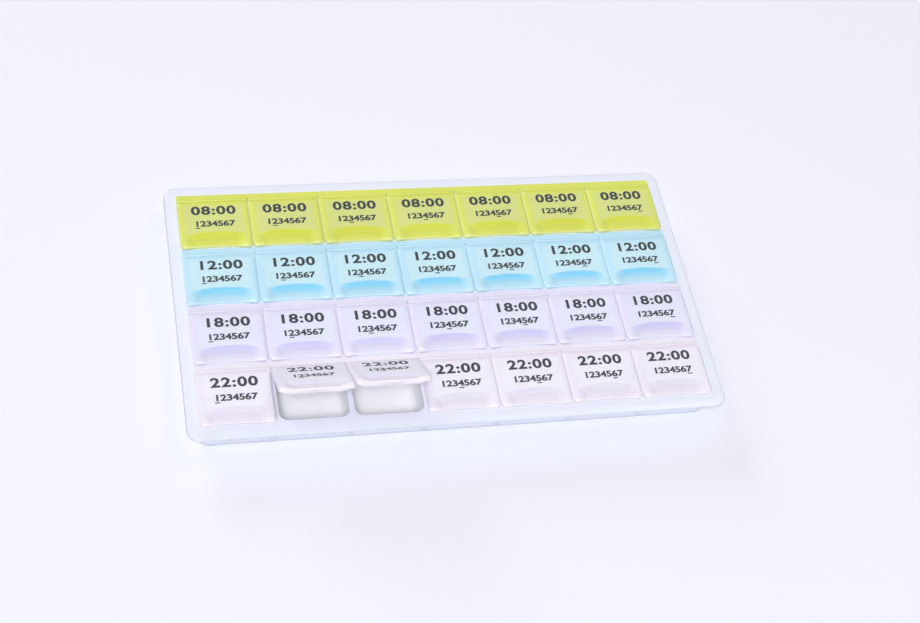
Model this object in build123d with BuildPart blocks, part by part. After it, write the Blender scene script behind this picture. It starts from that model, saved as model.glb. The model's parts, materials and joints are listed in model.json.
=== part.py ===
"""Weekly pill box: a moulded tray of wells with four rows of flip-up lids, one well for each time of each day.

Millimetres, +Z up. The origin is at the middle of the underside. +X runs along the days of the week and +Y
points to the back, where the morning row is. Every lid turns on a hinge bar along the back of its row.
"""

import os

from build123d import *

# Layout of the lids
days = 7
times = ("morning", "noon", "evening", "night")
column_pitch = 30.0
row_pitch = 28.75
lid_gap = 0.6
row_gap = 0.3

# Tray
tray_height = 14.5
wall = 1.4
floor_thickness = 1.2
rim_margin = 5.0
rim_thickness = 1.6
rim_corner = 5.0
rim_edge_radius = 0.5
body_corner = 4.5
body_draft = 2.5
base_radius = 0.8

# Wells and the ledges around them
divider = 2.4
front_ledge = 1.8
back_ledge = 1.0
well_corner = 3.5
well_draft = 1.0
well_floor_radius = 2.5

# Hinge bars, each with a tongue in a groove of the tray
bar_depth = 3.2
bar_edge_radius = 0.5
trough_floor = 0.3
tongue_thickness = 1.2
tongue_depth = 2.0
tongue_end_setback = 4.0
groove_side_clearance = 0.05
groove_end_clearance = 0.3

# Hinges
barrel_radius = 0.6
barrel_end_setback = 1.2
hinge_clearance = 0.05

# Lids: a plate, a raised panel with sloped borders, a thumb scoop and a rim that plugs the well
plate_thickness = 1.2
plate_setback = 0.3
lid_corner = 2.0
front_dip = 0.9
panel_border = 0.2
panel_setback = 1.3
panel_rise = 0.85
panel_slope = 45.0
scoop_width = 21.5
scoop_reach = 7.0
scoop_depth = 1.1
scoop_slope = 3.0
underside_recess = 0.4
plug_clearance = 0.45
plug_wall = 1.0
plug_height = 1.5
catch_length = 8.0
catch_radius = 0.25

# Lids that stand open at rest: how far each is turned up from closed
open_angles = {("night", 2): 36.0, ("night", 3): 39.0}

# Sizes and places that follow from those above
field_width = days * column_pitch
field_depth = len(times) * row_pitch
well_width = column_pitch - divider
well_depth = row_pitch - front_ledge - bar_depth - back_ledge
well_offset = (front_ledge - bar_depth - back_ledge) / 2
well_height = tray_height - floor_thickness
rail = row_pitch - well_depth
body_width = field_width - divider + 2 * wall
body_depth = field_depth - 2 * front_ledge + 2 * wall
body_height = tray_height - rim_thickness
groove_depth = tongue_depth + groove_end_clearance
core_width = rail - 2 * wall
core_length = body_width - 4 * wall
core_height = tray_height - groove_depth - wall

bar_length = field_width - lid_gap
tongue_length = bar_length - 2 * tongue_end_setback
tongue_offset = bar_depth / 2
axis_height = trough_floor + hinge_clearance + barrel_radius
axis_z = tray_height + axis_height

lid_width = column_pitch - lid_gap
lid_front = bar_depth + row_gap - row_pitch
plate_bottom = -axis_height
plate_top = plate_bottom + plate_thickness
panel_top = plate_top + panel_rise
barrel_length = lid_width - 2 * barrel_end_setback
plug_width = well_width - 2 * plug_clearance
plug_depth = well_depth - 2 * plug_clearance
plug_corner = well_corner - plug_clearance
plug_middle = -back_ledge - well_depth / 2
plug_front = plug_middle - plug_depth / 2
catch_z = plate_bottom - plug_height / 2
scoop_edge_radius = (scoop_width**2 / 4 + scoop_reach**2) / (2 * scoop_reach)
scoop_y = lid_front + scoop_reach - scoop_edge_radius
scoop_floor = panel_top - scoop_depth


def row_back(row):
    """The back edge of a row's strip of lids, with the rows counted from the back."""
    return field_depth / 2 - row * row_pitch


def hinge_y(row):
    """The hinge axis of a row, along the front of its bar."""
    return row_back(row) - bar_depth


def column_x(day):
    """The middle of a day's column, with the days counted from 1."""
    return (day - (days + 1) / 2) * column_pitch


def hand_over(piece, name):
    """Label a finished piece and write its file."""
    piece.label = name
    export_step(piece, f"parts/{name}.step")


os.makedirs("parts", exist_ok=True)
rows = range(len(times))

# One well as a solid: drafted sides, round corners and a round edge along its floor
with BuildPart() as well:
    with BuildSketch(Plane.XY.offset(tray_height)):
        RectangleRounded(well_width, well_depth, well_corner)
    extrude(amount=-well_height, taper=well_draft)
    fillet(well.edges().group_by(Axis.Z)[0], well_floor_radius)

# The tray: a rim around a drafted body, with the wells, the bars' grooves, and channels that core the rails
with BuildPart() as tray:
    with BuildSketch(Plane.XY.offset(tray_height)):
        RectangleRounded(field_width + 2 * rim_margin, field_depth + 2 * rim_margin, rim_corner)
    extrude(amount=-rim_thickness)
    fillet(tray.edges().group_by(Axis.Z)[-1] + tray.edges().group_by(Axis.Z)[0], rim_edge_radius)
    with BuildSketch(Plane.XY.offset(body_height)):
        RectangleRounded(body_width, body_depth, body_corner)
    extrude(amount=-body_height, taper=body_draft)
    fillet(tray.edges().group_by(Axis.Z)[0], base_radius)
    with Locations((0, well_offset)):
        with GridLocations(column_pitch, row_pitch, days, len(times)):
            add(well.part, mode=Mode.SUBTRACT)
    with BuildSketch(Plane.XY.offset(tray_height)):
        with Locations(*[(0, row_back(row) - tongue_offset) for row in rows]):
            Rectangle(tongue_length + 2 * groove_end_clearance, tongue_thickness + 2 * groove_side_clearance)
    extrude(amount=-groove_depth, mode=Mode.SUBTRACT)
    with BuildSketch():
        with Locations(*[(0, row_back(row) + front_ledge - rail / 2) for row in rows[1:]]):
            Rectangle(core_length, core_width)
    extrude(amount=core_height, mode=Mode.SUBTRACT)
hand_over(tray.part, "tray")

# The hinge bars: a flat band with a trough along its front for the barrels, and the tongue beneath
for row, time in enumerate(times):
    with BuildPart() as bar:
        with BuildSketch(Plane.YZ.offset(-bar_length / 2)):
            with Locations((hinge_y(row), tray_height)):
                Rectangle(bar_depth, plate_thickness, align=(Align.MIN, Align.MIN))
            with Locations((hinge_y(row), axis_z)):
                Circle(barrel_radius + hinge_clearance, mode=Mode.SUBTRACT)
        extrude(amount=bar_length)
        top_edges = bar.faces().sort_by(Axis.Z)[-1].edges().filter_by(Axis.X)
        fillet(top_edges.sort_by(Axis.Y)[-1], bar_edge_radius)
        with BuildSketch(Plane.XY.offset(tray_height)):
            with Locations((0, row_back(row) - tongue_offset)):
                Rectangle(tongue_length, tongue_thickness)
        extrude(amount=-tongue_depth)
    hand_over(bar.part, f"hinge_bar_{time}")

# One lid, closed, in its hinge's own frame: the axis is the X axis and the lid reaches towards -Y
with BuildPart() as lid_moulding:
    with BuildSketch(Plane.XY.offset(plate_bottom)) as plate_outline:
        with BuildLine():
            back = Line((lid_width / 2, -plate_setback), (-lid_width / 2, -plate_setback))
            left = Line(back @ 1, (-lid_width / 2, lid_front))
            front = ThreePointArc(left @ 1, (0, lid_front + front_dip), (lid_width / 2, lid_front))
            Line(front @ 1, back @ 0)
        make_face()
        fillet(plate_outline.vertices().group_by(Axis.Y)[0], lid_corner)
    extrude(amount=plate_thickness)
    with BuildSketch(Plane.XY.offset(plate_top)) as panel_outline:
        panel_side = lid_width / 2 - panel_border
        with BuildLine():
            back = Line((panel_side, -panel_setback), (-panel_side, -panel_setback))
            left = Line(back @ 1, (-panel_side, lid_front + panel_border))
            dip = (0, lid_front + panel_border + front_dip)
            front = ThreePointArc(left @ 1, dip, (panel_side, lid_front + panel_border))
            Line(front @ 1, back @ 0)
        make_face()
        fillet(panel_outline.vertices(), lid_corner - panel_border)
    extrude(amount=panel_rise, taper=panel_slope)
    with Locations((0, scoop_y, scoop_floor)):
        Cone(
            scoop_edge_radius - scoop_slope,
            scoop_edge_radius,
            scoop_depth,
            align=(Align.CENTER, Align.CENTER, Align.MIN),
            mode=Mode.SUBTRACT,
        )
    with BuildSketch(Plane.XY.offset(plate_bottom)):
        with Locations((0, plug_middle)):
            RectangleRounded(plug_width, plug_depth, plug_corner)
    extrude(amount=-plug_height)
    with BuildSketch(Plane.YZ.offset(-catch_length / 2)):
        with Locations((plug_front, catch_z)):
            Circle(catch_radius)
    extrude(amount=catch_length)
    with BuildSketch(Plane.XY.offset(plate_bottom - plug_height)):
        with Locations((0, plug_middle)):
            RectangleRounded(plug_width - 2 * plug_wall, plug_depth - 2 * plug_wall, plug_corner - plug_wall)
    extrude(amount=plug_height + underside_recess, mode=Mode.SUBTRACT)
    with BuildSketch(Plane.YZ.offset(-barrel_length / 2)):
        Circle(barrel_radius)
    extrude(amount=barrel_length)

# The lids in their places, turned about their hinges where they stand open
for row, time in enumerate(times):
    for day in range(1, days + 1):
        hinge = Plane((column_x(day), hinge_y(row), axis_z))
        hinge = hinge.rotated((-open_angles.get((time, day), 0), 0, 0))
        with BuildPart(hinge) as lid:
            add(lid_moulding.part)
        hand_over(lid.part, f"lid_{time}_{day}")
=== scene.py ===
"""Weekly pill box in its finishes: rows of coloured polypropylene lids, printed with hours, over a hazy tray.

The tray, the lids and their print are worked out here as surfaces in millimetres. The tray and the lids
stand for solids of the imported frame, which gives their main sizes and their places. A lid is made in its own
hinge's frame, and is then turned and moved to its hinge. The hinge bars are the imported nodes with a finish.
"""

import json
import logging
import math
from collections.abc import Mapping, Sequence
from dataclasses import dataclass
from enum import Enum

import bmesh
import bpy
import numpy as np
from mathutils import Matrix, Vector
from mathutils.geometry import tessellate_polygon


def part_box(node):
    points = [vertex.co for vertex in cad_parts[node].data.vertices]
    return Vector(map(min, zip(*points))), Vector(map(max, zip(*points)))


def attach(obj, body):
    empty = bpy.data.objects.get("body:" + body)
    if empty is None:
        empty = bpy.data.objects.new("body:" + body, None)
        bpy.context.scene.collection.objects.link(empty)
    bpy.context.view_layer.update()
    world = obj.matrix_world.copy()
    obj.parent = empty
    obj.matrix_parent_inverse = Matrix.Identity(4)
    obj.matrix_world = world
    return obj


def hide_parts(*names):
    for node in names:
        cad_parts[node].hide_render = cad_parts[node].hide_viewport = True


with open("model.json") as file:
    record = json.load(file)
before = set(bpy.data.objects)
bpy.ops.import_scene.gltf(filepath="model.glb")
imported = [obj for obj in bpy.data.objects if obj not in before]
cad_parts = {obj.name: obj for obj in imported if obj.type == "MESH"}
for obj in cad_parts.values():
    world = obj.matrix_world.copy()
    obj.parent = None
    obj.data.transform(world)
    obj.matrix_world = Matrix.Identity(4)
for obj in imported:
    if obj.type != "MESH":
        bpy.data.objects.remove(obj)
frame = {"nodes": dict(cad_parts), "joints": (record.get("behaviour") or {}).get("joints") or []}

log = logging.getLogger("pill_box")

MM = 0.001  # metres in a millimetre
MERGE_DISTANCE = 1e-7  # metres; closes seams and poles without touching the shape
SHARP_EDGE_DEGREES = 38.0
NOISE_LOW, NOISE_HIGH = 0.3, 0.7  # most of a noise texture lies between these
MIX_FIRST, MIX_SECOND, MIX_RESULT = 6, 7, 2  # the sockets of a Mix node that hold colours


class TimeOfDay(Enum):
    """The rows of lids from back to front: the name used in the frame and the hour that is printed."""

    MORNING = ("morning", "08:00")
    NOON = ("noon", "12:00")
    EVENING = ("evening", "18:00")
    NIGHT = ("night", "22:00")

    @property
    def label(self) -> str:
        """The row's name in the frame."""
        return self.value[0]

    @property
    def hour(self) -> str:
        """The hour printed on the row's lids."""
        return self.value[1]


def linear(hex_colour: str) -> tuple[float, float, float, float]:
    """Turn an sRGB hex colour into the linear values that shaders use.

    Args:
        hex_colour: A colour such as "#E3E7F5".

    Returns:
        Linear red, green and blue, and an alpha of 1.
    """
    encoded = np.array([int(hex_colour[i : i + 2], 16) for i in (1, 3, 5)]) / 255
    decoded = np.where(encoded <= 0.04045, encoded / 12.92, ((encoded + 0.055) / 1.055) ** 2.4)
    return (*decoded.tolist(), 1.0)


def add_node(
    tree: bpy.types.NodeTree,
    kind: str,
    inputs: Mapping[str | int, object] | None = None,
    **settings: object,
) -> bpy.types.Node:
    """Add a node to a tree with its settings and inputs.

    Args:
        tree: The node tree.
        kind: The node's type, such as "ShaderNodeTexNoise".
        inputs: Values by socket; a socket of another node is linked instead.
        **settings: Properties of the node by name.

    Returns:
        The new node.
    """
    node = tree.nodes.new(kind)
    for name, value in settings.items():
        setattr(node, name, value)
    for name, value in (inputs or {}).items():
        if isinstance(value, bpy.types.NodeSocket):
            tree.links.new(value, node.inputs[name])
        else:
            node.inputs[name].default_value = value
    return node


def new_tree(name: str) -> tuple[bpy.types.Material, bpy.types.NodeTree]:
    """Make an empty node material.

    Args:
        name: The material's name.

    Returns:
        The material and its node tree.
    """
    material = bpy.data.materials.new(name)
    material.use_nodes = True
    material.node_tree.nodes.clear()
    return material, material.node_tree


def tinted(tree: bpy.types.NodeTree, body: str, tints: Mapping[str, str]) -> bpy.types.NodeSocket:
    """Mix painted light and shade into a plastic's colour, one over the other, where the values of its piece
    say.

    Args:
        tree: The node tree.
        body: The plastic's own colour, as hex.
        tints: Hex colours of painted light and shade, by the name of the value that mixes each of them in.

    Returns:
        The mixed colour.
    """
    colour = linear(body)
    for label, painted_tone in tints.items():
        share = add_node(tree, "ShaderNodeAttribute", attribute_name=label).outputs["Fac"]
        colour = add_node(
            tree,
            "ShaderNodeMix",
            {"Factor": share, MIX_FIRST: colour, MIX_SECOND: linear(painted_tone)},
            data_type="RGBA",
        ).outputs[MIX_RESULT]
    return colour


def clouded(
    tree: bpy.types.NodeTree,
    colour: bpy.types.NodeSocket,
    place: bpy.types.NodeSocket,
    cloud_mm: float,
    detail: float,
    share: float,
) -> bpy.types.NodeSocket:
    """Darken a plastic's colour a little in soft clouds, as its flow in the mould leaves them.

    Args:
        tree: The node tree.
        colour: The plastic's colour.
        place: Where a point is on the object.
        cloud_mm: The size of a cloud.
        detail: How many finer layers the clouds have.
        share: How much darker the darkest places are.

    Returns:
        The clouded colour.
    """
    cloud = add_node(
        tree, "ShaderNodeTexNoise", {"Vector": place, "Scale": 1 / (cloud_mm * MM), "Detail": detail}
    ).outputs["Fac"]
    shade = add_node(
        tree,
        "ShaderNodeMapRange",
        {"Value": cloud, "From Min": NOISE_LOW, "From Max": NOISE_HIGH, "To Min": 1 - share},
    ).outputs["Result"]
    return add_node(
        tree,
        "ShaderNodeMix",
        {"Factor": 1.0, MIX_FIRST: colour, MIX_SECOND: shade},
        data_type="RGBA",
        blend_type="MULTIPLY",
    ).outputs[MIX_RESULT]


@dataclass(frozen=True)
class TintedPolypropylene:
    """Injection-moulded polypropylene in a milky colour, shown in full in the glossy borders and painted
    deeper in the thumb scoop as shade.

    The label panel is spark-eroded in the mould, so it scatters light and looks duller; its paler colour is a
    painted sheen.
    """

    name: str
    body: str
    # Painted sheen: the paler colour of the frosted label panel.
    panel: str
    # Painted shade: the deeper colour on the scoop's slope.
    scoop: str
    # Painted highlight: a paler colour along the lid's edges.
    seam: str
    gloss_roughness: float = 0.38
    panel_roughness: float = 0.48
    index: float = 1.49
    scatter_mm: float = 1.5
    scatter_weight: float = 0.3
    grain_mm: float = 0.45  # real spark erosion is about 0.05 mm; drawn coarser so that it shows
    grain_bite: float = 0.6
    grain_strength: float = 0.10
    flow_mm: float = 22.0
    flow_detail: float = 3.0
    flow_share: float = 0.05

    def material(self) -> bpy.types.Material:
        """Build the material.

        Returns:
            A material that reads the pieces' "panel", "scoop" and "seam" attributes.
        """
        material, tree = new_tree(self.name)
        place = add_node(tree, "ShaderNodeTexCoord").outputs["Object"]
        frosted = add_node(tree, "ShaderNodeAttribute", attribute_name="panel").outputs["Fac"]
        # The panel is painted paler as its sheen, the scoop deeper as shade, and the lid's edges paler as a
        # highlight.
        colour = tinted(tree, self.body, {"panel": self.panel, "scoop": self.scoop, "seam": self.seam})
        colour = clouded(tree, colour, place, self.flow_mm, self.flow_detail, self.flow_share)
        roughness = add_node(
            tree,
            "ShaderNodeMapRange",
            {"Value": frosted, "To Min": self.gloss_roughness, "To Max": self.panel_roughness},
        ).outputs["Result"]
        strength = add_node(
            tree, "ShaderNodeMapRange", {"Value": frosted, "To Max": self.grain_strength}
        ).outputs["Result"]
        grain = add_node(
            tree,
            "ShaderNodeTexNoise",
            {"Vector": place, "Scale": 1 / (self.grain_mm * MM), "Roughness": self.grain_bite},
        ).outputs["Fac"]
        bump = add_node(
            tree,
            "ShaderNodeBump",
            {"Height": grain, "Strength": strength, "Distance": self.grain_mm * MM},
        ).outputs["Normal"]
        shader = add_node(
            tree,
            "ShaderNodeBsdfPrincipled",
            {
                "Base Color": colour,
                "Roughness": roughness,
                "IOR": self.index,
                "Normal": bump,
                "Subsurface Weight": self.scatter_weight,
                "Subsurface Radius": (1.0, 1.0, 1.0),
                "Subsurface Scale": self.scatter_mm * MM,
            },
        ).outputs["BSDF"]
        add_node(tree, "ShaderNodeOutputMaterial", {"Surface": shader})
        return material


@dataclass(frozen=True)
class ClearPolystyrene:
    """Moulded polystyrene with a milky haze.

    Its wells are painted paler, as light that gathers in them, and its edges, where one looks along the wall,
    are painted denser and greyer as shade.
    """

    name: str = "hazy_clear_polystyrene"
    body: str = "#E8ECFB"
    # Painted light: the near-white colour of the wells.
    well: str = "#FBFCFF"
    # Painted shade: the greyer colour along the rim's edge, at the wells' mouths, along the base and where the
    # walls between the wells meet the outer wall.
    edge: str = "#C6CADC"
    roughness: float = 0.16
    index: float = 1.59
    haze_mm: float = 30.0
    haze_detail: float = 3.0
    haze_share: float = 0.04

    def material(self) -> bpy.types.Material:
        """Build the material.

        Returns:
            A material that reads the tray's "well" and "edge" attributes, with a haze fixed to the tray.
        """
        material, tree = new_tree(self.name)
        place = add_node(tree, "ShaderNodeTexCoord").outputs["Object"]
        # The wells are painted paler as gathered light, and the edges greyer as shade.
        colour = tinted(tree, self.body, {"well": self.well, "edge": self.edge})
        colour = clouded(tree, colour, place, self.haze_mm, self.haze_detail, self.haze_share)
        shader = add_node(
            tree,
            "ShaderNodeBsdfPrincipled",
            {"Base Color": colour, "Roughness": self.roughness, "IOR": self.index},
        ).outputs["BSDF"]
        add_node(tree, "ShaderNodeOutputMaterial", {"Surface": shader})
        return material


@dataclass(frozen=True)
class PrintInk:
    """Pad-printed ink: near black, with a dull skin that is a little thinner in places."""

    name: str = "pad_print_ink"
    body: str = "#23282C"
    thin: str = "#3A4045"
    roughness: float = 0.55
    patch_mm: float = 1.2

    def material(self) -> bpy.types.Material:
        """Build the material.

        Returns:
            A material with slight variation in the ink's density.
        """
        material, tree = new_tree(self.name)
        place = add_node(tree, "ShaderNodeTexCoord").outputs["Object"]
        density = add_node(
            tree, "ShaderNodeTexNoise", {"Vector": place, "Scale": 1 / (self.patch_mm * MM)}
        ).outputs["Fac"]
        colour = add_node(
            tree,
            "ShaderNodeMix",
            {"Factor": density, MIX_FIRST: linear(self.body), MIX_SECOND: linear(self.thin)},
            data_type="RGBA",
        ).outputs[MIX_RESULT]
        shader = add_node(
            tree, "ShaderNodeBsdfPrincipled", {"Base Color": colour, "Roughness": self.roughness}
        ).outputs["BSDF"]
        add_node(tree, "ShaderNodeOutputMaterial", {"Surface": shader})
        return material


# Each finish's panel colour is a painted sheen, its scoop colour painted shade, and the colour along the lid's
# edges a painted highlight.
LID_FINISHES: dict[TimeOfDay, TintedPolypropylene] = {
    TimeOfDay.MORNING: TintedPolypropylene(
        "yellow_green_polypropylene", body="#DAE164", panel="#D6DC88", scoop="#D2D844", seam="#E2E8A4"
    ),
    TimeOfDay.NOON: TintedPolypropylene(
        "sky_blue_polypropylene", body="#BEE5F9", panel="#CAEAF5", scoop="#83D1F6", seam="#CFEDFA"
    ),
    TimeOfDay.EVENING: TintedPolypropylene(
        "lavender_polypropylene", body="#E5E1F8", panel="#E4E6FA", scoop="#CCCBF3", seam="#EBE8FA"
    ),
    TimeOfDay.NIGHT: TintedPolypropylene(
        "pale_pink_polypropylene", body="#EDE6F5", panel="#EEECF9", scoop="#E4DFF2", seam="#F2ECF7"
    ),
}


@dataclass
class Surface:
    """Points and faces on their way to a mesh, in millimetres.

    Attributes:
        points: The vertices, one row each.
        faces: Vertex numbers, one list for each face.
        values: Named values, one for each vertex, which the finish reads.
    """

    points: np.ndarray
    faces: list[list[int]]
    values: dict[str, np.ndarray]

    def moved(self, place: Matrix) -> "Surface":
        """The same surface, turned and moved by a matrix in millimetres."""
        matrix = np.array(place)
        return Surface(self.points @ matrix[:3, :3].T + matrix[:3, 3], self.faces, self.values)

    def piece(self, name: str, material: bpy.types.Material) -> bpy.types.Object:
        """Put the surface into the scene as one object at the origin, closed, with its faces outwards.

        Args:
            name: The piece's name.
            material: Its finish.

        Returns:
            The new object.
        """
        mesh = bpy.data.meshes.new(name)
        mesh.from_pydata(self.points * MM, [], self.faces)
        for label, numbers in self.values.items():
            attribute = mesh.attributes.new(label, "FLOAT", "POINT")
            attribute.data.foreach_set("value", numbers.astype(np.float32))
        work = bmesh.new()
        work.from_mesh(mesh)
        bmesh.ops.remove_doubles(work, verts=work.verts, dist=MERGE_DISTANCE)
        bmesh.ops.recalc_face_normals(work, faces=work.faces)
        work.to_mesh(mesh)
        work.free()
        mesh.shade_smooth()
        mesh.set_sharp_from_angle(angle=math.radians(SHARP_EDGE_DEGREES))
        mesh.materials.append(material)
        thing = bpy.data.objects.new(name, mesh)
        bpy.context.scene.collection.objects.link(thing)
        return thing


def joined(parts: Sequence[Surface]) -> Surface:
    """Put several surfaces into one, each keeping its own faces.

    Args:
        parts: The surfaces; a value that one of them lacks is zero there.

    Returns:
        One surface.
    """
    starts = np.cumsum([0] + [len(part.points) for part in parts])
    faces = [[n + start for n in face] for part, start in zip(parts, starts) for face in part.faces]
    labels = sorted({label for part in parts for label in part.values})
    values = {
        label: np.concatenate([part.values.get(label, np.zeros(len(part.points))) for part in parts])
        for label in labels
    }
    return Surface(np.concatenate([part.points for part in parts]), faces, values)


def strip_faces(first: np.ndarray, second: np.ndarray) -> np.ndarray:
    """Join two rows of vertices with quads, one for each step along them.

    Args:
        first: Vertex numbers of one row.
        second: Vertex numbers of the other row.

    Returns:
        Four vertex numbers for each quad.
    """
    corners = [first[..., :-1], first[..., 1:], second[..., 1:], second[..., :-1]]
    return np.stack(corners, axis=-1).reshape(-1, 4)


def tube(radius: float, length: float, end_round: float, sides: int = 24, end_steps: int = 4) -> Surface:
    """Work out a round bar along X with eased ends: a circle carried along X, drawn in near each end.

    Args:
        radius: The bar's radius.
        length: Its length over the ends.
        end_round: The radius of the edge at each end.
        sides: How many faces go round.
        end_steps: How many rings ease each end.

    Returns:
        A closed surface.
    """
    bend = np.linspace(0, np.pi / 2, end_steps)
    end_x = length / 2 - end_round * (1 - np.sin(bend))
    end_radius = radius - end_round * (1 - np.cos(bend))
    along = np.concatenate([-end_x[::-1], end_x])
    reach = np.concatenate([end_radius[::-1], end_radius])
    along = np.concatenate([along[:1], along, along[-1:]])
    reach = np.concatenate([[0], reach, [0]])
    angle = np.linspace(0, 2 * np.pi, sides + 1)
    x = np.broadcast_to(along[:, None], (len(along), len(angle)))
    y = reach[:, None] * np.cos(angle)
    z = reach[:, None] * np.sin(angle)
    numbers = np.arange(x.size).reshape(x.shape)
    faces = strip_faces(numbers[:-1], numbers[1:]).tolist()
    return Surface(np.stack([x, y, z], axis=-1).reshape(-1, 3), faces, {})


def ramp(share: np.ndarray, rounding: float) -> np.ndarray:
    """Rise from 0 to 1 as share goes from 0 to 1, straight in the middle and eased at both ends.

    The formula is half of 1 plus the hypotenuse of share and rounding, less that of share minus 1 and
    rounding.

    Args:
        share: Where each point is along the rise.
        rounding: How much of the rise each eased end takes.

    Returns:
        The height at each point, from 0 to 1.
    """
    return (1 + np.hypot(share, rounding) - np.hypot(share - 1, rounding)) / 2


@dataclass(frozen=True)
class Fade:
    """A rise from 0 to 1 along a measure.

    Attributes:
        start: Where it starts.
        run: How far it takes.
        rounding: How much of it each eased end takes.
    """

    start: float
    run: float
    rounding: float = 0.1

    def at(self, measure: np.ndarray) -> np.ndarray:
        """The height of the rise at each point."""
        return ramp((measure - self.start) / self.run, self.rounding)


def lower_of(first: np.ndarray, second: np.ndarray, rounding: float) -> np.ndarray:
    """Take the lower of two heights with an eased crease where they cross.

    The formula is half of their sum less the hypotenuse of their difference and rounding.

    Args:
        first: One height at each point.
        second: The other height.
        rounding: The size of the eased crease.

    Returns:
        The lower height.
    """
    return (first + second - np.hypot(first - second, rounding)) / 2


def inside_distance(
    x: np.ndarray, y: np.ndarray, half_width: float, front: float, back: float, corner: float
) -> np.ndarray:
    """Measure how far points lie inside a rectangle with round corners.

    Past the rectangle less its corner radius, the distance is to a corner's arc. Within, it is to the
    nearest side.

    Args:
        x: Places across.
        y: Places from front to back.
        half_width: Half the rectangle's width.
        front: Its front edge.
        back: Its back edge.
        corner: The radius of its corners.

    Returns:
        Distances, negative outside.
    """
    past_x = np.abs(x) - (half_width - corner)
    past_y = np.abs(y - (front + back) / 2) - ((back - front) / 2 - corner)
    outside = np.hypot(np.maximum(past_x, 0), np.maximum(past_y, 0))
    return corner - outside - np.minimum(np.maximum(past_x, past_y), 0)


def rounded_ring(
    across: np.ndarray, deep: np.ndarray, half_width: float, half_depth: float, corner: float, height: float
) -> np.ndarray:
    """Work out a level ring: the edge of a rectangle, with the points near its corners pulled onto arcs.

    A point past both sides of a corner's middle moves along its line from that middle to the corner's
    radius.

    Args:
        across: Where each point is across, from -1 to 1.
        deep: Where it is from front to back, from -1 to 1.
        half_width: Half the rectangle's width.
        half_depth: Half its depth.
        corner: The radius of its corners.
        height: The ring's height.

    Returns:
        One point for each value of across and deep, round the origin.
    """
    x = across * half_width
    y = deep * half_depth
    past_x = np.maximum(np.abs(x) - (half_width - corner), 0)
    past_y = np.maximum(np.abs(y) - (half_depth - corner), 0)
    both = (past_x > 0) & (past_y > 0)
    pull = corner / np.where(both, np.hypot(past_x, past_y), 1)
    x = np.where(both, np.sign(x) * (half_width - corner + past_x * pull), x)
    y = np.where(both, np.sign(y) * (half_depth - corner + past_y * pull), y)
    return np.stack([x, y, np.full_like(x, height)], axis=-1)


def edge_spaced(low: float, high: float, offsets: Sequence[float], count: int) -> np.ndarray:
    """Space grid lines close together near both ends and evenly between.

    Args:
        low: The first line.
        high: The last line.
        offsets: Distances from either end, rising from zero; the last is where the even lines start.
        count: How many even lines there are.

    Returns:
        The lines from low to high.
    """
    near = np.asarray(offsets)
    middle = np.linspace(low + near[-1], high - near[-1], count)
    return np.concatenate([low + near[:-1], middle, high - near[-2::-1]])


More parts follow.
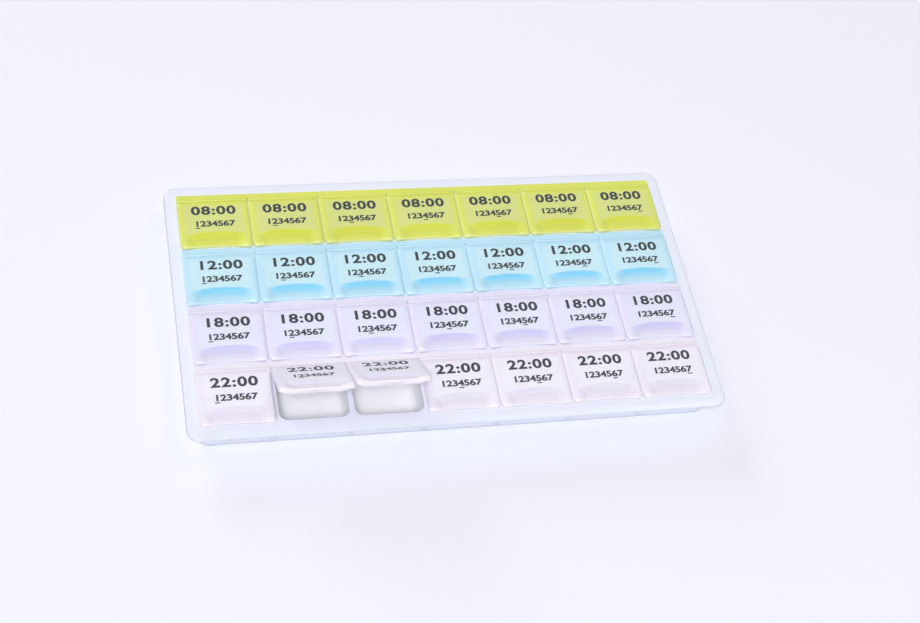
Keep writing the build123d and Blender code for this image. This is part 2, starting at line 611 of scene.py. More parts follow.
@dataclass
class LidMoulding:
    """One lid as it is moulded, shut, in its hinge's own frame.

    The hinge is the X axis, and the lid reaches to -Y.

    Attributes:
        width: The lid's width.
        front: Its front edge, at the corners.
        panel_top: The height of the label panel.
        plug_bottom: The lowest edge of the rim that plugs the well.
        label_fade: How the frosted label, painted paler as its sheen, fades in from the foot of the panel's
            border, in millimetres.
        label_end: How it ends at the scoop, in shares of the scoop's wall.
        tint_start: How the scoop's painted shade, a deeper colour, starts at its arch, in shares of its wall.
        tint_down: How the painted shade weakens down the wall and past its foot, in the same shares, by
            tint_loss.
        tint_front: How the painted shade fades in from the lid's front edge, in shares of the scoop's reach.
        tint_side: How it fades out to either side, in shares of half the scoop's width.
        seam_fade: How the paler colour painted along the lid's edge as a highlight fades out from that edge,
            in millimetres.
    """

    width: float
    front: float
    panel_top: float
    plug_bottom: float
    plate_setback: float = 0.3
    plate_thickness: float = 1.18  # leaves a hair of air between a shut lid and the tray
    corner: float = 2.0
    back_corner: float = 0.35
    edge_radius: float = 0.2
    front_dip: float = 0.66
    border: float = 0.2
    panel_setback: float = 1.3
    panel_rise: float = 0.85
    panel_run: float = 0.85
    scoop_width: float = 24.4
    scoop_reach: float = 7.7
    scoop_arch_radius: float = 50.0
    scoop_depth: float = 1.1
    scoop_slope: float = 2.6
    scoop_side_slope: float = 3.0
    scoop_shoulder: float = 0.2
    crease: float = 0.08
    label_fade: Fade = Fade(1.35, 1.8)
    label_end: Fade = Fade(-0.1, 0.2)
    tint_start: Fade = Fade(-0.03, 0.15)
    tint_down: Fade = Fade(0.6, 1.0, 0.2)
    tint_loss: float = 0.75
    tint_front: Fade = Fade(0.2, 0.4, 0.15)
    tint_side: Fade = Fade(0.7, 0.3, 0.2)
    seam_fade: Fade = Fade(0.0, 0.9)
    plug_width: float = 26.7
    plug_height: float = 1.5
    plug_inset_back: float = 1.45
    plug_depth: float = 21.85
    plug_corner: float = 3.05
    plug_wall: float = 1.0
    plug_edge: float = 0.2
    recess: float = 0.4
    recess_shares: tuple[float, ...] = (0.6, 0.0)
    barrel_radius: float = 0.6
    barrel_inset: float = 0.05
    bead_radius: float = 0.25
    bead_length: float = 8.0
    edge_lines: tuple[float, ...] = (0.0, 0.05, 0.13, 0.22, 0.34, 0.5, 0.7, 0.9, 1.05, 1.25, 1.6, 2.1)
    lines_across: int = 46
    lines_deep: int = 42

    @classmethod
    def from_frame(cls, node: str, hinge: Vector, closer: float = 0.5) -> "LidMoulding":
        """Take the lid's main sizes from a shut lid of the frame.

        Args:
            node: The shut lid's node.
            hinge: Its hinge, in millimetres.
            closer: How much wider the lid is than its solid, so that its seams are as fine as they look.

        Returns:
            The lid.
        """
        low, high = (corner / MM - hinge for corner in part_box(node))
        return cls(width=high.x - low.x + closer, front=low.y, panel_top=high.z, plug_bottom=low.z)

    @property
    def plate_top(self) -> float:
        """The height of the plate that carries the panel."""
        return self.panel_top - self.panel_rise

    @property
    def plate_bottom(self) -> float:
        """The height of the plate's underside."""
        return self.plate_top - self.plate_thickness

    def scoop_share(self, x: np.ndarray, y: np.ndarray) -> np.ndarray:
        """Measure how far points are down the scoop's sloped wall.

        In plan the scoop lies under a wide flat arc of a circle. Its sides rise more gently than its arch.

        Args:
            x: Places across.
            y: Places from front to back.

        Returns:
            0 at the arch, 1 at the wall's foot, and negative outside.
        """
        middle = self.front + self.scoop_reach - self.scoop_arch_radius
        under_arch = self.scoop_arch_radius - np.hypot(x, y - middle)
        inside = self.scoop_width / 2 - np.abs(x)
        return lower_of(under_arch / self.scoop_slope, inside / self.scoop_side_slope, self.scoop_shoulder)

    def dip(self, x: np.ndarray) -> np.ndarray:
        """How far the front edge draws back between its corners: a parabola across the straight stretch."""
        share = np.clip(x / (self.width / 2 - self.corner), -1, 1)
        return self.front_dip * (1 - share**2)

    def outline_width(self, y: np.ndarray) -> np.ndarray:
        """Work out half the plate's width, drawn in along the corners' arcs.

        Args:
            y: Places from front to back.

        Returns:
            Half the width at each place.
        """
        near_front = np.clip(self.corner - (y - self.front), 0, self.corner)
        near_back = np.clip(self.back_corner - (-self.plate_setback - y), 0, self.back_corner)
        front_draw = self.corner - np.sqrt(self.corner**2 - near_front**2)
        back_draw = self.back_corner - np.sqrt(self.back_corner**2 - near_back**2)
        return self.width / 2 - front_draw - back_draw

    def rim_distance(self, x: np.ndarray, straight_y: np.ndarray) -> np.ndarray:
        """How far points lie inside the plate's sides and front; its back runs into the barrel."""
        return inside_distance(x, straight_y, self.width / 2, self.front, -self.front, self.corner)

    def panel_edge(self, x: np.ndarray, straight_y: np.ndarray) -> np.ndarray:
        """How far points lie inside the foot of the panel's sloped border."""
        sides = (self.width / 2 - self.border, self.front + self.border, -self.panel_setback)
        return inside_distance(x, straight_y, *sides, self.corner - self.border)

    def top_height(self, x: np.ndarray, y: np.ndarray, straight_y: np.ndarray) -> np.ndarray:
        """Work out the top: a panel raised on a sloped border, sunk at the thumb scoop, with a round edge.

        Args:
            x: Places across.
            y: Places from front to back.
            straight_y: The same places with the front edge's dip taken out.

        Returns:
            The height of the top at each place.
        """
        edge = self.rim_distance(x, straight_y)
        inset = self.panel_edge(x, straight_y)
        raised = self.plate_top + self.panel_rise * ramp(inset / self.panel_run, self.crease)
        share = self.scoop_share(x, y)
        fall = (share + 1 - np.hypot(share - 1, self.crease)) / 2
        height = lower_of(raised, self.panel_top - self.scoop_depth * fall, self.crease)
        short = np.clip(self.edge_radius - edge, 0, self.edge_radius)
        return height - (self.edge_radius - np.sqrt(self.edge_radius**2 - short**2))

    def tints(self, x: np.ndarray, y: np.ndarray, straight_y: np.ndarray) -> dict[str, np.ndarray]:
        """Work out where the top is frosted and painted paler as sheen, where the scoop is painted deeper as
        shade, and where the lid's edges are painted paler as a highlight.

        Args:
            x: Places across.
            y: Places from front to back.
            straight_y: The same places with the front edge's dip taken out.

        Returns:
            The finish's "panel", "scoop" and "seam" values at each place, from 0 to 1.
        """
        share = self.scoop_share(x, y)
        # Painted sheen: the label panel is painted paler; the same value makes it rougher and grained, as it
        # is frosted.
        panel = self.label_fade.at(self.panel_edge(x, straight_y)) * (1 - self.label_end.at(share))
        # Painted shade: the scoop's slope is painted a deeper colour, strongest below its arch and fading to
        # the front and sides.
        scoop = self.tint_start.at(share) * (1 - self.tint_loss * self.tint_down.at(share))
        scoop *= self.tint_front.at((y - self.front) / self.scoop_reach)
        scoop *= 1 - self.tint_side.at(np.abs(x) / (self.scoop_width / 2))
        # Painted highlight: the lid's edges are painted paler.
        seam = 1 - self.seam_fade.at(self.rim_distance(x, straight_y))
        return {"panel": panel, "scoop": scoop, "seam": seam}

    def plug_ring(self, across: np.ndarray, deep: np.ndarray, inset: float, height: float) -> np.ndarray:
        """Work out a ring of the plug.

        Args:
            across: Where each point is across, from -1 to 1.
            deep: Where it is from front to back, from -1 to 1.
            inset: How far the ring lies inside the plug's outside.
            height: The ring's height.

        Returns:
            One point for each value of across and deep.
        """
        half_width = self.plug_width / 2 - inset
        corner = max(self.plug_corner - inset, self.plug_edge)
        ring = rounded_ring(across, deep, half_width, self.plug_depth / 2 - inset, corner, height)
        return ring - [0, self.plug_inset_back + self.plug_depth / 2, 0]

    def shell(self) -> Surface:
        """Work out the plate, panel and plug as one closed surface.

        The top is a grid. Its edge goes on as rings: down the plate's side, under it to the plug, round the
        plug's edge, up into the recess and across to a pole.

        Returns:
            The surface, with the finish's values on its top and its side.
        """
        lines_x = edge_spaced(-self.width / 2, self.width / 2, self.edge_lines, self.lines_across)
        lines_y = edge_spaced(self.front, -self.plate_setback, self.edge_lines, self.lines_deep)
        straight_x, straight_y = np.meshgrid(lines_x, lines_y)
        x = straight_x * self.outline_width(straight_y) / (self.width / 2)
        nearness = (straight_y - straight_y.max()) / (self.front - straight_y.max())
        y = straight_y + self.dip(x) * nearness**2
        z = self.top_height(x, y, straight_y)
        top = np.stack([x, y, z], axis=-1).reshape(-1, 3)

        numbers = np.arange(x.size).reshape(x.shape)
        edge = np.concatenate([numbers[0, :-1], numbers[:-1, -1], numbers[-1, :0:-1], numbers[::-1, 0]])
        outline = top[edge] * [1, 1, 0]
        around = straight_x.ravel()[edge] / (self.width / 2)
        along = 2 * (straight_y.ravel()[edge] - self.front) / (-self.plate_setback - self.front) - 1
        low = self.plug_bottom
        eased = self.plug_edge * (1 - math.sqrt(0.5))
        plug_profile = [
            (0, self.plate_bottom),
            (0, low + self.plug_edge),
            (eased, low + eased),
            (self.plug_edge, low),
            (self.plug_wall - self.plug_edge, low),
            (self.plug_wall, low + self.plug_edge),
            (self.plug_wall, self.plate_bottom + self.recess),
        ]
        sides = [outline + [0, 0, self.plate_bottom + self.edge_radius], outline + [0, 0, self.plate_bottom]]
        plug = [self.plug_ring(around, along, inset, height) for inset, height in plug_profile]
        middle = plug[-1].mean(axis=0)
        rings = [*sides, *plug, *(middle + (plug[-1] - middle) * share for share in self.recess_shares)]
        below = np.concatenate(rings)
        rows = np.concatenate([edge[None], len(top) + np.arange(len(below)).reshape(len(rings), -1)])
        faces = np.concatenate([strip_faces(numbers[:-1], numbers[1:]), strip_faces(rows[:-1], rows[1:])])

        bare = np.zeros(len(below))
        tints = self.tints(x, y, straight_y)
        values = {label: np.concatenate([value.ravel(), bare]) for label, value in tints.items()}
        # Painted highlight on the plate's sides as well.
        values["seam"][rows[1 : 1 + len(sides)]] = 1
        return Surface(np.concatenate([top, below]), faces.tolist(), values)

    def surface(self) -> Surface:
        """Join the shell with the hinge barrel along its back and the catch bead on the plug's front.

        Returns:
            The whole lid.
        """
        barrel = tube(self.barrel_radius, self.width - 2 * self.barrel_inset, self.edge_radius)
        bead = tube(self.bead_radius, self.bead_length, self.bead_radius)
        bead_y = -self.plug_inset_back - self.plug_depth
        bead_z = self.plate_bottom - self.plug_height / 2
        return joined([self.shell(), barrel, bead.moved(Matrix.Translation((0, bead_y, bead_z)))])


@dataclass
class TrayMoulding:
    """The tray: a rim round a drafted body, a rounded well for each lid, and channels that core its rails.

    Attributes:
        width: The rim's width.
        height: The tray's height.
        pitch_x: The distance from one column of wells to the next.
        pitch_y: The distance from one row to the next.
        days: How many columns there are.
        rows: How many rows.
        base_line: How high the greyer line painted along the base as a contact shadow starts to show.
        mouth_edge_value: How strongly the greyer edge colour, painted shade, shows at a well's mouth.
        front_edge_value: How strongly it shows along the rim's front, which is painted lighter there as the
            key lamp lights it; the rest of the rim has it in full.
        base_edge_value: How strongly it shows along the base, as a painted contact shadow.
        divider_shade: How strongly shade is painted on the outer wall where the walls between the wells meet
            it.
    """

    width: float
    height: float
    pitch_x: float
    pitch_y: float
    days: int
    rows: int
    wall: float = 1.4
    floor: float = 1.2
    divider: float = 2.4
    front_ledge: float = 1.8
    back_ledge: float = 4.2
    well_corner: float = 3.5
    well_draft: float = 1.0
    well_floor_radius: float = 2.5
    mouth_radius: float = 0.35
    rim_thickness: float = 1.6
    rim_edge: float = 0.5
    body_corner: float = 4.5
    body_draft: float = 2.5
    base_radius: float = 0.8
    base_line: float = 2.4
    channel_height: float = 10.8
    mouth_edge_value: float = 0.35
    front_edge_value: float = 0.2
    base_edge_value: float = 0.8
    divider_shade: float = 0.5
    floor_shares: tuple[float, ...] = (0.5, 0.0)
    bend_steps: int = 5
    corner_steps: int = 7
    side_steps: int = 5
    arc_steps: int = 9

    @classmethod
    def from_frame(cls, hinges: Mapping[tuple[str, int], Vector]) -> "TrayMoulding":
        """Take the tray's main sizes from the frame.

        Args:
            hinges: Each lid's hinge in millimetres, by its row's name and its day.

        Returns:
            The tray.
        """
        low, high = (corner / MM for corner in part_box("tray"))
        across = hinges["morning", 2] - hinges["morning", 1]
        deep = hinges["morning", 1] - hinges["noon", 1]
        days = max(day for _, day in hinges)
        return cls(high.x - low.x, high.z - low.z, across.x, deep.y, days, len(hinges) // days)

    @property
    def well_width(self) -> float:
        """A well's width at its mouth."""
        return self.pitch_x - self.divider

    @property
    def well_depth(self) -> float:
        """A well's depth from front to back, at its mouth."""
        return self.pitch_y - self.front_ledge - self.back_ledge

    @property
    def rail(self) -> float:
        """The distance from one row's wells to the next row's."""
        return self.pitch_y - self.well_depth

    @property
    def field(self) -> tuple[float, float]:
        """Half the width and half the depth of the field of wells."""
        return self.days * self.pitch_x / 2, self.rows * self.pitch_y / 2

    @property
    def bend(self) -> np.ndarray:
        """The angles of the steps round a quarter of a circle."""
        return np.linspace(0, np.pi / 2, self.bend_steps)

    def cell_lines(self, half: float) -> np.ndarray:
        """Place points along a side of a well, close together at the corners' arcs.

        Args:
            half: Half the side's length.

        Returns:
            Where the points lie, from -1 to 1.
        """
        bend = 1 - self.well_corner / half
        ends = np.linspace(bend, 1, self.corner_steps)
        return np.concatenate([-ends[::-1], np.linspace(-bend, bend, self.side_steps)[1:-1], ends])

    def wells(self) -> Surface:
        """Work out the wells with the ledges round them.

        One cell is a stack of rings: the cell's own edge, the mouth with its round edge, the drafted wall,
        the round edge along the floor, and the floor with a pole at its middle. It is repeated over the
        field.

        Returns:
            The top of the tray inside the field, which stays open at the field's edge.
        """
        lines_x = self.cell_lines(self.well_width / 2)
        lines_y = self.cell_lines(self.well_depth / 2)
        side, end = np.ones(len(lines_y) - 1), np.ones(len(lines_x) - 1)
        across = np.concatenate([lines_x[:-1], side, lines_x[:0:-1], -side])
        deep = np.concatenate([-end, lines_y[:-1], end, lines_y[:0:-1]])
        across, deep = np.append(across, across[0]), np.append(deep, deep[0])
        bend = self.bend
        mouth_out = self.mouth_radius * (1 - np.sin(bend))
        mouth_z = self.height - self.mouth_radius * (1 - np.cos(bend))
        wall_height = self.height - self.floor - self.well_floor_radius
        wall_in = math.tan(math.radians(self.well_draft)) * wall_height
        round_in = wall_in + self.well_floor_radius * (1 - np.cos(bend))
        round_z = self.floor + self.well_floor_radius * (1 - np.sin(bend))
        outs = np.concatenate([mouth_out, -round_in])
        heights = np.concatenate([mouth_z, round_z])
        shift = np.array([0, (self.front_ledge - self.back_ledge) / 2, 0])
        stack = [rounded_ring(across, deep, self.pitch_x / 2, self.pitch_y / 2, 0, self.height)]
        for out, height in zip(outs, heights):
            half_width, half_depth = self.well_width / 2 + out, self.well_depth / 2 + out
            corner = max(self.well_corner + out, self.mouth_radius)
            stack.append(shift + rounded_ring(across, deep, half_width, half_depth, corner, height))
        middle = shift + [0, 0, self.floor]
        stack += [middle + (stack[-1] - middle) * share for share in self.floor_shares]
        cell = np.stack(stack)
        numbers = np.arange(cell.shape[0] * cell.shape[1]).reshape(cell.shape[:2])
        faces = strip_faces(numbers[:-1], numbers[1:])
        columns = (np.arange(self.days) - (self.days - 1) / 2) * self.pitch_x
        rows = (np.arange(self.rows) - (self.rows - 1) / 2) * self.pitch_y
        grid = np.meshgrid(columns, rows, [0.0])
        places = np.stack(grid, axis=-1).reshape(-1, 3)
        points = (places[:, None, :] + cell.reshape(-1, 3)[None]).reshape(-1, 3)
        starts = np.arange(len(places)) * numbers.size
        edge, well = np.zeros(cell.shape[:2]), np.zeros(cell.shape[:2])
        # Painted shade at the mouths' round edges.
        edge[2 : 1 + len(bend)] = self.mouth_edge_value  # the mouth's rings, past the flat ledge
        # Painted light: the walls and floors of the wells are painted near-white.
        well[len(bend) :] = 1
        values = {"edge": np.tile(edge.ravel(), len(places)), "well": np.tile(well.ravel(), len(places))}
        return Surface(points, (starts[:, None, None] + faces[None]).reshape(-1, 4).tolist(), values)

    def side_shares(self, count: int, half: float) -> np.ndarray:
        """Place points along a whole side of the field where the wells' cells have theirs.

        Args:
            count: How many wells lie along the side.
            half: Half of a well's length along it.

        Returns:
            Where the points lie, from -1 to 1.
        """
        lines = self.cell_lines(half)
        starts = 2 * np.arange(count) - (count - 1)
        every = (starts[:, None] + lines[None, :-1]).ravel() / count
        return np.append(every, 1.0)

    def outline(self, half_width: float, half_depth: float, corner: float, height: float) -> np.ndarray:
        """Work out a level ring round the whole tray, with points on its sides where the cells have theirs.

        The front, a corner's arc, the right side and the next arc are worked out. The rest is these, turned
        by half a turn.

        Args:
            half_width: Half the ring's width.
            half_depth: Half its depth.
            corner: The radius of its corners.
            height: Its height.

        Returns:
            The ring's points, anticlockwise from the front left.
        """
        side_x = self.side_shares(self.days, self.well_width / 2) * (half_width - corner)
        side_y = self.side_shares(self.rows, self.well_depth / 2) * (half_depth - corner)
        turn = np.linspace(0, np.pi / 2, self.arc_steps + 2)[1:-1]
        middle = np.array([half_width - corner, half_depth - corner])
        runs = [
            np.column_stack([side_x, np.full_like(side_x, -half_depth)]),
            corner * np.column_stack([np.sin(turn), -np.cos(turn)]) + middle * [1, -1],
            np.column_stack([np.full_like(side_y, half_width), side_y]),
            corner * np.column_stack([np.cos(turn), np.sin(turn)]) + middle,
        ]
        flat = np.concatenate(runs + [-run for run in runs])
        return np.column_stack([flat, np.full(len(flat), height)])

    def behind_wall(self, ring: np.ndarray) -> np.ndarray:
        """Work out the shade painted on the outer wall where the walls between the wells meet it.

        The painted shade is a bell curve about each wall's middle: dividers on the front and back, rails on
        the sides.

        Args:
            ring: Points round the outer wall.

        Returns:
            A value for each point, from 0 between the walls to their strongest.
        """
        x, y = ring[:, 0], ring[:, 1]
        column = x / self.pitch_x + self.days / 2
        row = (y - self.front_ledge + self.rail / 2) / self.pitch_y + self.rows / 2
        from_divider = np.abs(column - np.round(column)) * self.pitch_x / (self.divider / 2)
        from_rail = np.abs(row - np.round(row)) * self.pitch_y / (self.rail / 2)
        facing_front = np.isclose(np.abs(y), np.abs(y).max())
        facing_side = np.isclose(np.abs(x), np.abs(x).max())
        seen = facing_front * np.exp(-(from_divider**2)) + facing_side * np.exp(-(from_rail**2))
        return self.divider_shade * seen

    def outside(self) -> Surface:
        """Work out what lies round and below the field: the rim, the drafted body and the cored channels.

        The rim and the body are rings carried down a profile. The base is filled round the channels'
        rectangles.

        Returns:
            The rest of the tray, which closes against the wells along the field's edge.
        """
        field_x, field_y = self.field
        bend = self.bend
        rim_margin = self.width / 2 - field_x
        turn_out = rim_margin - self.rim_edge * (1 - np.sin(bend))
        turn_in = self.rim_edge * (1 - np.cos(bend))
        low = self.height - self.rim_thickness
        reaches = np.concatenate([turn_out, turn_out[::-1]])
        heights = np.concatenate([self.height - turn_in, low + turn_in[::-1]])
        rings = [self.outline(field_x, field_y, 0, self.height)]
        rings += [
            self.outline(field_x + reach, field_y + reach, reach, height)
            for reach, height in zip(reaches, heights)
        ]
        # Painted shade: the rim's round edge is painted greyer.
        rim_edge_shade_rings = np.zeros(len(rings))
        rim_edge_shade_rings[2:-1] = 1  # all but the flat top and the last ring below

        body_x = field_x - self.divider / 2 + self.wall
        body_y = field_y - self.front_ledge + self.wall
        lean = math.tan(math.radians(self.body_draft))
        base_in = lean * (low - self.base_radius) + self.base_radius * (1 - np.cos(bend))
        base_z = self.base_radius * (1 - np.sin(bend))
        wall_profile = [(0.0, low), (lean * (low - self.base_line), self.base_line)]
        base_profile = list(zip(base_in, base_z))
        rings += [
            self.outline(body_x - inset, body_y - inset, self.body_corner - inset, height)
            for inset, height in wall_profile + base_profile
        ]
        around = np.stack(rings)
        numbers = np.arange(around.shape[0] * around.shape[1]).reshape(around.shape[:2])
        closed = np.concatenate([numbers, numbers[:, :1]], axis=1)
        faces = strip_faces(closed[:-1], closed[1:]).tolist()

        # Painted light: along the front, which the key lamp lights, the rim's painted shade is weaker.
        widest = around[len(bend)]
        facing_front = np.clip((-widest[:, 1] - field_y) / rim_margin, 0, 1)
        rim_edge_shade = np.outer(rim_edge_shade_rings, 1 - (1 - self.front_edge_value) * facing_front)
        # Painted shade: bands on the outer wall where the walls between the wells meet it.
        divider_shade_bands = self.behind_wall(around[-1])
        wall_shade = np.tile(divider_shade_bands, (len(wall_profile), 1))
        # Painted contact shadow: a greyer line along the base.
        base_shadow = np.tile(np.maximum(divider_shade_bands, self.base_edge_value), (len(base_profile), 1))

        half_core = np.array([body_x - 2 * self.wall, self.rail / 2 - self.wall])
        corners = np.array([[-1, -1], [1, -1], [1, 1], [-1, 1]]) * half_core
        rows = (np.arange(1, self.rows) - self.rows / 2) * self.pitch_y + self.front_ledge - self.rail / 2
        mouths = np.stack([np.column_stack([corners + [0, y], np.zeros(len(corners))]) for y in rows])
        roofs = mouths + [0, 0, self.channel_height]
        mouth_numbers = numbers.size + np.arange(mouths[..., 0].size).reshape(mouths.shape[:2])
        roof_numbers = mouth_numbers + mouth_numbers.size
        loop_numbers = np.concatenate([numbers[-1], mouth_numbers.ravel()])
        fill = tessellate_polygon([[Vector(point) for point in loop] for loop in (around[-1], *mouths)])
        faces += [loop_numbers[list(triangle)].tolist() for triangle in fill]
        lower = np.concatenate([mouth_numbers, mouth_numbers[:, :1]], axis=1)
        upper = np.concatenate([roof_numbers, roof_numbers[:, :1]], axis=1)
        faces += strip_faces(lower, upper).tolist() + roof_numbers.tolist()

        points = np.concatenate([around.reshape(-1, 3), mouths.reshape(-1, 3), roofs.reshape(-1, 3)])
        outer_shade = np.concatenate([rim_edge_shade, wall_shade, base_shadow]).ravel()
        channel_shade = np.zeros(len(points) - len(outer_shade))
        return Surface(points, faces, {"edge": np.concatenate([outer_shade, channel_shade])})

    def surface(self) -> Surface:
        """Join the wells with the outside along the field's edge."""
        return joined([self.wells(), self.outside()])


@dataclass
class LidPrint:
    """The print on a lid: the hour in bold figures over a line of day numbers, its own day underlined."""

    panel_top: float
    ink_thickness: float = 0.02
    hour_height: float = 4.4
    hour_weight: float = 0.2
    hour_y: float = -5.9
    day_height: float = 2.9
    day_weight: float = 0.13
    day_pitch: float = 2.4
    day_y: float = -13.0
    stretch: float = 1.25
    spacing: float = 1.12
    bar_width: float = 2.0
    bar_height: float = 0.45
    bar_drop: float = 2.3
    figure_share: float = 0.73  # the height of a figure in the built-in font, as a share of the font's size

    def words(self, text: str, height: float, weight: float, x: float, y: float) -> Surface:
        """Turn a line of text into a thin slab of ink.

        Args:
            text: The figures.
            height: The height of a figure.
            weight: How much each stroke is thickened on either side.
            x: The middle of the line across.
            y: Its middle from front to back.

        Returns:
            The ink, lying on the panel.
        """
        curve = bpy.data.curves.new("figures", "FONT")
        curve.body = text
        curve.size = height / self.figure_share
        curve.bevel_depth = weight
        curve.bevel_resolution = 0
        curve.space_character = self.spacing
        curve.align_x = "CENTER"
        holder = bpy.data.objects.new("figures", curve)
        bpy.context.scene.collection.objects.link(holder)
        view = bpy.context.evaluated_depsgraph_get()
        mesh = bpy.data.meshes.new_from_object(holder.evaluated_get(view))
        points = np.empty(len(mesh.vertices) * 3)
        mesh.vertices.foreach_get("co", points)
        faces = [list(face.vertices) for face in mesh.polygons]
        points = points.reshape(-1, 3) * [self.stretch, 1, self.ink_thickness / (2 * weight)]
        points += [x, y - height / 2, self.panel_top + self.ink_thickness / 2]
        bpy.data.objects.remove(holder)
        bpy.data.curves.remove(curve)
        bpy.data.meshes.remove(mesh)
        return Surface(points, faces, {})

    def underline(self, x: float) -> Surface:
        """Work out a short bar of ink under a day's figure.

        Args:
            x: The middle of the figure across.

        Returns:
            The bar, lying on the panel.
        """
        corners = np.array([[i, j, k] for i in (-1, 1) for j in (-1, 1) for k in (-1, 1)]) / 2
        points = corners * [self.bar_width, self.bar_height, self.ink_thickness]
        points += [x, self.day_y - self.bar_drop, self.panel_top + self.ink_thickness / 2]
        faces = [[0, 1, 3, 2], [4, 6, 7, 5], [0, 4, 5, 1], [2, 3, 7, 6], [0, 2, 6, 4], [1, 5, 7, 3]]
        return Surface(points, faces, {})

    def surface(self, hour: str, day: int, days: int) -> Surface:
        """Lay out a lid's print.

        Args:
            hour: The hour, such as "08:00".
            day: The lid's day, counted from 1.
            days: How many days there are.

        Returns:
            All the ink on the lid.
        """
        places = [(number - (days + 1) / 2) * self.day_pitch for number in range(1, days + 1)]
        parts = [self.words(hour, self.hour_height, self.hour_weight, 0, self.hour_y)]
        parts += [
            self.words(str(number), self.day_height, self.day_weight, x, self.day_y)
            for number, x in enumerate(places, start=1)
        ]
        return joined([*parts, self.underline(places[day - 1])])


@dataclass
class PillBox:
    """The box: its tray, lids and print, made here, and its hinge bars from the frame, dressed."""

    days: int = 7

    def dress(self, node: str, material: bpy.types.Material) -> None:
        """Give a node of the frame its finish.

        Args:
            node: The node's name.
            material: The finish.
        """
        for slot in frame["nodes"][node].material_slots:
            slot.material = material
        log.info("dressed %s with %s", node, material.name)

    def build(self) -> None:
        """Build the tray, dress the bars, and put every lid and its print in place."""
        ink = PrintInk().material()
        joints = {joint["name"]: joint for joint in frame["joints"]}
        hinges = {
            (time.label, day): Vector(joints[f"hinge_{time.label}_{day}"]["pos_m"]) / MM
            for time in TimeOfDay
            for day in range(1, self.days + 1)
        }
        tray = TrayMoulding.from_frame(hinges).surface().piece("tray_shell", ClearPolystyrene().material())
        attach(tray, "tray")
        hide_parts("tray")
        log.info("tray with %d faces", len(tray.data.polygons))
        moulding = LidMoulding.from_frame("lid_morning_1", hinges["morning", 1])
        lid_surface = moulding.surface()
        printing = LidPrint(moulding.panel_top)
        for time in TimeOfDay:
            material = LID_FINISHES[time].material()
            self.dress(f"hinge_bar_{time.label}", material)
            for day in range(1, self.days + 1):
                joint = joints[f"hinge_{time.label}_{day}"]
                opened = math.radians(joint["range_deg"][0])
                place = Matrix.Translation(hinges[time.label, day]) @ Matrix.Rotation(opened, 4, "X")
                body = joint["child"]
                lid = lid_surface.moved(place).piece(f"lid_shell_{time.label}_{day}", material)
                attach(lid, body)
                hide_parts(f"lid_{time.label}_{day}")
                marks = printing.surface(time.hour, day, self.days).moved(place)
                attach(marks.piece(f"print_{time.label}_{day}", ink), body)
                log.info("lid %s %d with its print", time.label, day)


def direction(azimuth: float, elevation: float) -> Vector:
    """Point from the object to a place round it.

    Args:
        azimuth: Degrees round from the front, anticlockwise from above.
        elevation: Degrees above the horizon.

    Returns:
        A vector of length 1.
    """
    turn, tilt = math.radians(azimuth), math.radians(elevation)
    return Vector((math.sin(turn) * math.cos(tilt), -math.cos(turn) * math.cos(tilt), math.sin(tilt)))


@dataclass(frozen=True)
class Softbox:
    """A square lamp that faces the object.

    Attributes:
        name: The lamp's name.
        azimuth: Where it hangs round the object, in degrees.
        elevation: Its height above the horizon, in degrees.
        watts: Its power.
        distance: How far off it hangs, in metres.
        size: Its side, in metres.
    """

    name: str
    azimuth: float
    elevation: float
    watts: float
    distance: float = 4.0
    size: float = 1.7

    def hang(self) -> None:
        """Put the lamp into the scene, turned towards the object."""
        lamp = bpy.data.lights.new(self.name, "AREA")
        lamp.shape = "SQUARE"
        lamp.size = self.size
        lamp.energy = self.watts
        holder = bpy.data.objects.new(self.name, lamp)
        towards = direction(self.azimuth, self.elevation)
        holder.location = towards * self.distance
        holder.rotation_euler = (-towards).to_track_quat("-Z", "Y").to_euler()
        bpy.context.scene.collection.objects.link(holder)


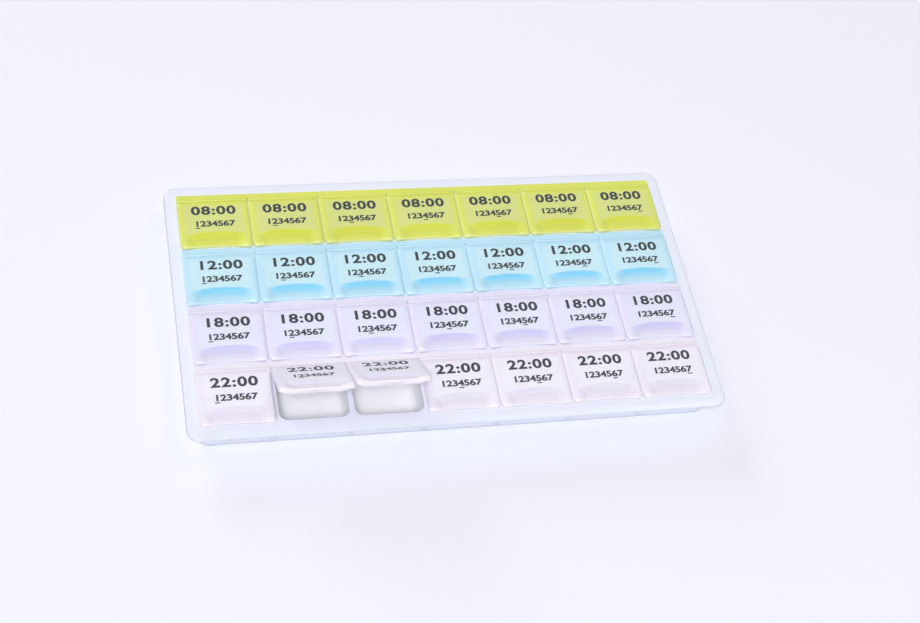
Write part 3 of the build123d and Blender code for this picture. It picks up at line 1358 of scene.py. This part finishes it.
@dataclass
class Studio:
    """A plain pale floor, soft light from above and a camera at the reference view.

    Attributes:
        azimuth: Where the camera stands round the object, in degrees.
        elevation: Its height above the horizon, in degrees.
        roll: Its turn about its own axis, in degrees.
        distance: How far it is from its aim, in millimetres.
        focal_pixels: Its focal length in pixels of a frame that is frame_pixels wide.
        side_step: How far it is moved to its right, in millimetres.
        rise: How far it is moved up, in millimetres.
        aim_height: The height of its aim above the floor, in millimetres.
        floor_size: The floor's side, in metres.
    """

    azimuth: float = -22.72
    elevation: float = 52.70
    roll: float = 15.43
    distance: float = 693.2
    focal_pixels: float = 1667.3
    frame_pixels: float = 920.0
    side_step: float = 7.56
    rise: float = -7.90
    aim_height: float = 16.55
    sensor_mm: float = 36.0
    floor_hex: str = "#F0F1FA"
    floor_size: float = 12.0
    sky_hex: str = "#FFFFFF"
    sky_strength: float = 0.28
    lamps: tuple[Softbox, ...] = (
        Softbox("key_softbox", -22.0, 54.0, 112.0, size=1.1),
        Softbox("side_softbox", 110.0, 62.0, 16.0),
        Softbox("back_softbox", 200.0, 20.0, 50.0),
    )

    def camera(self) -> None:
        """Place the camera and make it the scene's own."""
        roll = math.radians(self.roll)
        back = direction(self.azimuth, self.elevation)
        level = direction(self.azimuth + 90, 0)
        upright = back.cross(level)
        right = math.cos(roll) * level + math.sin(roll) * upright
        up = math.cos(roll) * upright - math.sin(roll) * level
        aim = Vector((0, 0, self.aim_height))
        place = aim + back * self.distance + right * self.side_step + up * self.rise
        lens = bpy.data.cameras.new("camera")
        lens.sensor_width = self.sensor_mm
        lens.lens = self.focal_pixels / self.frame_pixels * self.sensor_mm
        camera = bpy.data.objects.new("camera", lens)
        turned = Matrix((right, up, back)).transposed().to_4x4()
        camera.matrix_world = Matrix.Translation(place * MM) @ turned
        bpy.context.scene.collection.objects.link(camera)
        bpy.context.scene.camera = camera

    def floor(self) -> None:
        """Lay the floor, a smooth matt sheet."""
        half = self.floor_size / 2
        corners = [(-half, -half, 0), (half, -half, 0), (half, half, 0), (-half, half, 0)]
        mesh = bpy.data.meshes.new("floor")
        mesh.from_pydata(corners, [], [(0, 1, 2, 3)])
        material, tree = new_tree("matt_card")
        shader = add_node(tree, "ShaderNodeBsdfDiffuse", {"Color": linear(self.floor_hex)}).outputs["BSDF"]
        add_node(tree, "ShaderNodeOutputMaterial", {"Surface": shader})
        mesh.materials.append(material)
        floor = bpy.data.objects.new("floor", mesh)
        bpy.context.scene.collection.objects.link(floor)

    def lights(self) -> None:
        """Hang the lamps and fill the rest with an even sky.

        The camera, reflections and transmitted rays see the sky as pale as the floor.
        """
        world = bpy.data.worlds.new("sky")
        world.use_nodes = True
        tree = world.node_tree
        tree.nodes.clear()
        ray = add_node(tree, "ShaderNodeLightPath").outputs
        seen = ray["Is Camera Ray"]
        for kind in ("Is Glossy Ray", "Is Transmission Ray"):
            seen = add_node(tree, "ShaderNodeMath", {0: seen, 1: ray[kind]}, operation="MAXIMUM").outputs[0]
        shades = [(self.sky_hex, self.sky_strength), (self.floor_hex, 1.0)]
        sky, paper = (
            add_node(tree, "ShaderNodeBackground", {"Color": linear(shade), "Strength": strength}).outputs[0]
            for shade, strength in shades
        )
        shader = add_node(tree, "ShaderNodeMixShader", {0: seen, 1: sky, 2: paper}).outputs[0]
        add_node(tree, "ShaderNodeOutputWorld", {"Surface": shader})
        bpy.context.scene.world = world
        for lamp in self.lamps:
            lamp.hang()

    def set_up(self) -> None:
        """Build the whole setting."""
        bpy.context.scene.view_settings.view_transform = "Standard"
        self.floor()
        self.lights()
        self.camera()


def main() -> None:
    """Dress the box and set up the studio."""
    logging.basicConfig(level=logging.INFO, format="%(name)s: %(message)s")
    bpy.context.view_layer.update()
    PillBox().build()
    Studio().set_up()


if __name__ == "__main__":
    main()
